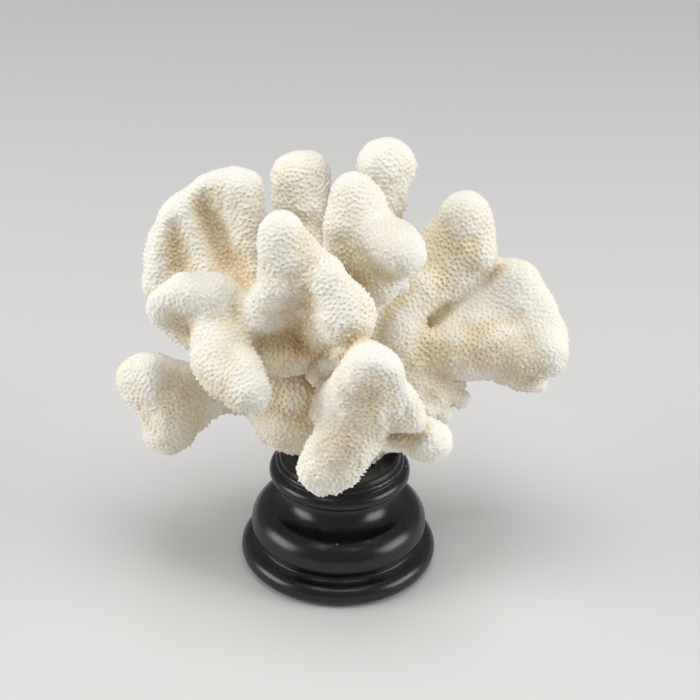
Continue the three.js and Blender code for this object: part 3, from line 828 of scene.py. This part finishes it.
def coral_material():
    m, t = nodes_of("coral")
    out = add(t, "ShaderNodeOutputMaterial")
    bsdf = add(t, "ShaderNodeBsdfPrincipled")
    t.links.new(bsdf.outputs[0], out.inputs[0])
    co = add(t, "ShaderNodeTexCoord").outputs["Object"]
    tan, pit, low, rim = attr(t, "tan"), attr(t, "pit"), attr(t, "low"), attr(t, "rim")
    big = noise(t, co, 42, 3, 0.55)
    mid = noise(t, co, 190, 3, 0.6)
    # how tan: painted shade in the hollows and along grooves, lighter convex rims, and the coral's own tan along the
    # listed lines, broken up by noise
    stain_and_shade = math_(t, "ADD", tan, math_(t, "MULTIPLY", math_(t, "SUBTRACT", big, 0.5), 0.5))
    stain_and_shade = math_(t, "ADD", stain_and_shade, math_(t, "MULTIPLY", math_(t, "SUBTRACT", mid, 0.5), 0.2), True)
    top = ramp(t, [(0.0, lin(250, 249, 243)), (0.4, lin(246, 241, 228)), (1.0, lin(234, 218, 189))])
    t.links.new(stain_and_shade, top.inputs[0])
    gap_tan_and_shade = ramp(t, [(0.0, lin(241, 236, 221)), (0.3, lin(225, 210, 175)), (0.65, lin(202, 172, 125)), (1.0, lin(172, 129, 82))])
    t.links.new(stain_and_shade, gap_tan_and_shade.inputs[0])
    # painted shade: the low ground between the raised hoods takes the darker, browner gap colour
    col = mix(t, top.outputs[0], gap_tan_and_shade.outputs[0], low)
    # living cups were warmer: a yellow to orange spot at the bottom of each pit
    spot = ramp(t, [(0.0, lin(236, 206, 132)), (0.4, lin(222, 176, 96)), (1.0, lin(176, 126, 70))])
    t.links.new(stain_and_shade, spot.inputs[0])
    patch = noise(t, co, 75, 2, 0.5)
    amount = math_(t, "MULTIPLY", math_(t, "MULTIPLY", pit, math_(t, "SUBTRACT", 1.0, rim)), math_(t, "MULTIPLY", math_(t, "SUBTRACT", patch, 0.36), 3.6, True), True)
    col = mix(t, col, spot.outputs[0], amount)
    t.links.new(col, bsdf.inputs["Base Color"])
    bsdf.inputs["Roughness"].default_value = 0.8
    bsdf.inputs["Specular IOR Level"].default_value = 0.3
    grain = noise(t, co, 2400, 4, 0.65)
    spicule = noise(t, co, 900, 2, 0.6)
    bump = add(t, "ShaderNodeBump")
    bump.inputs["Strength"].default_value = 0.5
    bump.inputs["Distance"].default_value = 0.00022
    t.links.new(math_(t, "ADD", grain, spicule), bump.inputs["Height"])
    t.links.new(bump.outputs[0], bsdf.inputs["Normal"])
    return m


def lacquer_material():
    m, t = nodes_of("black_lacquer")
    out = add(t, "ShaderNodeOutputMaterial")
    bsdf = add(t, "ShaderNodeBsdfPrincipled")
    t.links.new(bsdf.outputs[0], out.inputs[0])
    co = add(t, "ShaderNodeTexCoord").outputs["Object"]
    soft = noise(t, co, 60, 4, 0.6)
    fine = noise(t, co, 900, 4, 0.65)
    base = ramp(t, [(0.3, (0.0028, 0.0032, 0.0036, 1)), (0.7, (0.0065, 0.0072, 0.008, 1))])
    t.links.new(soft, base.inputs[0])
    # specks of dust in the lacquer
    vor = add(t, "ShaderNodeTexVoronoi")
    vor.inputs["Scale"].default_value = 210
    t.links.new(co, vor.inputs["Vector"])
    near_ = math_(t, "LESS_THAN", vor.outputs["Distance"], 0.055)
    sep = add(t, "ShaderNodeSeparateColor")
    t.links.new(vor.outputs["Color"], sep.inputs[0])
    few = math_(t, "GREATER_THAN", sep.outputs[0], 0.9)
    dust = math_(t, "MULTIPLY", near_, few)
    col = mix(t, base.outputs[0], (0.35, 0.36, 0.36, 1), dust)
    t.links.new(col, bsdf.inputs["Base Color"])
    rough = add(t, "ShaderNodeMapRange")
    rough.inputs["To Min"].default_value = 0.22
    rough.inputs["To Max"].default_value = 0.33
    bsdf.inputs["Specular IOR Level"].default_value = 0.5
    t.links.new(soft, rough.inputs[0])
    t.links.new(rough.outputs[0], bsdf.inputs["Roughness"])
    bump = add(t, "ShaderNodeBump")
    bump.inputs["Strength"].default_value = 0.05
    bump.inputs["Distance"].default_value = 0.0002
    t.links.new(fine, bump.inputs["Height"])
    t.links.new(bump.outputs[0], bsdf.inputs["Normal"])
    return m


CORAL_MAT = coral_material()
LACQUER = lacquer_material()

# ------------------------------------------------------------------ coral pieces
# painted shade: more tan where the surface is shut in by nearby coral; lighter on convex rims, partly whiter new growth
# and partly painted highlight
tan = 0.04 + 0.62 * hollow - 0.26 * conv
for amp, sig, pts in TAN_AND_SHADE_LINES:
    d_ = spot_distance(np.array(pts, float), V)
    tan = tan + amp * np.exp(-0.5 * (d_ / sig) ** 2)
tan = np.clip(tan, 0, 1)
orange = np.ones(len(V))
for amp, sig, pts in SPOTS:
    d_ = spot_distance(np.array(pts, float), V)
    orange = orange + amp * np.exp(-0.5 * (d_ / sig) ** 2)
orange = np.clip(orange, 0.15, 2.2)
# painted shade: low is high in the ground between the raised hoods, which the material colours darker and browner
low = np.clip(0.75 - 1.25 * hood, 0, 1)
face_lab = territory[Q]
# a face goes to the lobe most of its corners are in
votes = np.sort(face_lab, 1)
maj = np.where(votes[:, 1] == votes[:, 2], votes[:, 1], np.where(votes[:, 0] == votes[:, 1], votes[:, 0], votes[:, 2]))

# normals of the displaced whole, so that no seam shows between the pieces
def vertex_normals(p, q):
    d1 = p[q[:, 2]] - p[q[:, 0]]
    d2 = p[q[:, 3]] - p[q[:, 1]]
    n = np.cross(d1, d2)
    out = np.zeros_like(p)
    for k in range(3):
        out[:, k] = sum(np.bincount(q[:, i], n[:, k], len(p)) for i in range(4))
    return out / (np.linalg.norm(out, axis=1)[:, None] + 1e-20)


VN = vertex_normals(P, Q)


def islands(faces, nv):
    lab = np.arange(nv)
    while True:
        m = lab[faces].min(1)
        new = lab.copy()
        for k in range(4):
            np.minimum.at(new, faces[:, k], m)
        new = new[new]
        if np.array_equal(new, lab):
            return lab[faces[:, 0]]
        lab = new


# scraps of a lobe cut off by its neighbours go to the neighbour they touch most
for _ in range(3):
    changed = 0
    for li in range(nl):
        fi = np.where(maj == li)[0]
        if not len(fi):
            continue
        lab = islands(Q[fi], len(V))
        u, c = np.unique(lab, return_counts=True)
        if len(u) < 2:
            continue
        big_ = u[np.argmax(c)]
        loose = fi[lab != big_]
        # neighbour labels through shared points
        vlab = np.full(len(V), -1)
        for k in range(4):
            other = maj != li
            vlab[Q[other, k]] = maj[other]
        for isl in u[u != big_]:
            ff = fi[lab == isl]
            nb = vlab[Q[ff].ravel()]
            nb = nb[nb >= 0]
            if len(nb):
                maj[ff] = np.bincount(nb).argmax()
                changed += len(ff)
    if not changed:
        break


def make_piece(name, faces):
    used, inv = np.unique(faces, return_inverse=True)
    f = inv.reshape(-1, 4)
    p = P[used] * 0.001
    n = VN[used]
    polys = [tuple(x) for x in f.tolist()]
    # open edges: walk each loop and close it with a fan to its middle
    e = np.concatenate([np.stack([f[:, i], f[:, (i + 1) % 4]], 1) for i in range(4)])
    nv = len(used)
    fwd = e[:, 0] * nv + e[:, 1]
    rev = e[:, 1] * nv + e[:, 0]
    openm = ~np.isin(fwd, rev)
    nxt = {}
    for a, b in e[openm].tolist():
        nxt.setdefault(b, []).append(a)   # reversed direction round the hole
    extra_p, caps = [], []
    count = nv
    while nxt:
        start = next(iter(nxt))
        loop = [start]
        cur = start
        while True:
            outs = nxt.get(cur)
            if not outs:
                break
            b = outs.pop()
            if not outs:
                del nxt[cur]
            if b == start:
                break
            loop.append(b)
            cur = b
        if len(loop) < 3:
            continue
        # rings that sink below the skin and close at the middle, kept inside the coral
        edge_ = P[used][loop]
        sink = edge_ - 1.3 * N[used][loop]
        mid_ = sink.mean(0)
        rings = [loop]
        for f_ in (0.0, 0.22, 0.48, 0.76):
            rp = sink + f_ * (mid_ - sink)
            for _i in range(8):
                over = np.clip(sample(rp) + 1.1, 0, 1.5)
                rp = rp - over[:, None] * gradient(rp)
            if f_ > 0:
                for _i in range(3):
                    rp = 0.5 * rp + 0.25 * (np.roll(rp, 1, 0) + np.roll(rp, -1, 0))
            rings.append(list(range(count, count + len(loop))))
            extra_p.append(rp)
            count += len(loop)
        m_ = extra_p[-1].mean(0)[None]
        for _i in range(8):
            m_ = m_ - np.clip(sample(m_) + 1.1, 0, 1.5)[:, None] * gradient(m_)
        extra_p.append(m_)
        tipi = count
        count += 1
        nl_ = len(loop)
        for r0_, r1_ in zip(rings[:-1], rings[1:]):
            for i in range(nl_):
                j = (i + 1) % nl_
                caps.append((r0_[i], r0_[j], r1_[j], r1_[i]))
        for i in range(nl_):
            caps.append((rings[-1][i], rings[-1][(i + 1) % nl_], tipi))
    if extra_p:
        ep = np.concatenate(extra_p) * 0.001
        p = np.concatenate([p, ep])
        en = -gradient(ep * 1000)
        n = np.concatenate([n, en])
    me = bpy.data.meshes.new(name)
    me.from_pydata(p.tolist(), [], polys + caps)
    me.polygons.foreach_set("use_smooth", np.ones(len(me.polygons), bool))
    pad = len(p) - nv
    for an, arr in (("tan", tan), ("pit", pit * orange), ("low", low), ("rim", rim)):
        at = me.attributes.new(an, "FLOAT", "POINT")
        at.data.foreach_set("value", np.concatenate([arr[used], np.zeros(pad)]).astype(np.float32))
    me.update()
    me.normals_split_custom_set_from_vertices(n.tolist())
    me.materials.append(CORAL_MAT)
    ob = bpy.data.objects.new(name, me)
    scene.collection.objects.link(ob)
    return ob


for li, (name, limbs, webs_) in enumerate(CORAL):
    faces = Q[maj == li]
    ob = make_piece("looks_" + name, faces)
    print("PIECE", name, len(ob.data.polygons))
    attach(ob, "root")
    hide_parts(name)

# ------------------------------------------------------------------ turned base
def arc(r, z, radius, a0, a1, steps):
    return [(r + radius * math.cos(math.radians(a0 + (a1 - a0) * i / steps)),
             z + radius * math.sin(math.radians(a0 + (a1 - a0) * i / steps))) for i in range(steps + 1)]


def chaikin(pts, rounds=1):
    for _ in range(rounds):
        out = [pts[0]]
        for a, b in zip(pts[:-1], pts[1:]):
            out += [(0.75 * a[0] + 0.25 * b[0], 0.75 * a[1] + 0.25 * b[1]), (0.25 * a[0] + 0.75 * b[0], 0.25 * a[1] + 0.75 * b[1])]
        out.append(pts[-1])
        pts = out
    return pts


profile = [(0.0, 0.6), (24.0, 0.6), (24.6, 0.0)]
profile += arc(31.1, 3.9, 3.9, -90, 90, 12)
profile += arc(23.6, 14.8, 7.7, -48, 68, 14)
profile += arc(25.5, 30.3, 7.9, 268, 180, 12)
profile += [(17.6, 32.2)]
profile += arc(22.2, 36.1, 2.8, -115, 85, 12)
profile += arc(21.6, 40.2, 1.1, -40, 75, 5)
profile += arc(20.4, 41.8, 0.9, -10, 150, 6)
profile += [(17.5, 40.9), (14.0, 40.2), (9.0, 39.6), (4.0, 39.3), (0.0, 39.2)]

profile = chaikin(profile, 1)
SEG = 160
pts, polys = [], []
for r, z in profile[1:-1]:
    for s in range(SEG):
        a = 2 * math.pi * s / SEG
        pts.append((r * math.cos(a) * 0.001, r * math.sin(a) * 0.001, z * 0.001))
rows = len(profile) - 2
for j in range(rows - 1):
    for s in range(SEG):
        t = (s + 1) % SEG
        polys.append((j * SEG + s, j * SEG + t, (j + 1) * SEG + t, (j + 1) * SEG + s))
pts.append((0, 0, profile[0][1] * 0.001))
pts.append((0, 0, profile[-1][1] * 0.001))
for s in range(SEG):
    t = (s + 1) % SEG
    polys.append((t, s, len(pts) - 2))
    polys.append(((rows - 1) * SEG + s, (rows - 1) * SEG + t, len(pts) - 1))
me = bpy.data.meshes.new("turned_base")
me.from_pydata(pts, [], polys)
me.polygons.foreach_set("use_smooth", np.ones(len(me.polygons), bool))
me.materials.append(LACQUER)
base = bpy.data.objects.new("turned_base", me)
scene.collection.objects.link(base)
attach(base, "root")
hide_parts("stand")

# ------------------------------------------------------------------ floor and light
fm, t = nodes_of("floor")
out = add(t, "ShaderNodeOutputMaterial")
b = add(t, "ShaderNodeBsdfPrincipled")
t.links.new(b.outputs[0], out.inputs[0])
b.inputs["Base Color"].default_value = (0.7, 0.69, 0.68, 1)
b.inputs["Roughness"].default_value = 0.9
b.inputs["Specular IOR Level"].default_value = 0.15
bpy.ops.mesh.primitive_plane_add(size=8, location=(0, 0, 0))
floor = bpy.context.object
floor.name = "floor"
floor.data.materials.append(fm)

world = bpy.data.worlds.new("world")
scene.world = world
world.use_nodes = True
wb = world.node_tree.nodes["Background"]
wb.inputs[0].default_value = (0.80, 0.81, 0.83, 1)
wb.inputs[1].default_value = 0.365


def area(name, loc, target, w, h, power, color=(1, 1, 1)):
    d = bpy.data.lights.new(name, "AREA")
    d.shape = "RECTANGLE"
    d.size, d.size_y = w, h
    d.energy = power
    d.color = color
    o = bpy.data.objects.new(name, d)
    scene.collection.objects.link(o)
    o.location = loc
    o.rotation_euler = (Vector(target) - Vector(loc)).to_track_quat("-Z", "Y").to_euler()
    return o


area("soft_left", (-1.04, -0.20, 0.46), (0, 0, 0.07), 0.72, 0.56, 6.7)
area("soft_right", (1.04, -0.20, 0.46), (0, 0, 0.07), 0.72, 0.56, 6.7)
area("soft_top", (0.0, -0.12, 1.15), (0, 0, 0.08), 0.7, 0.7, 5.9)

scene.view_settings.view_transform = "Standard"
scene.view_settings.look = "None"
scene.view_settings.exposure = 0.0
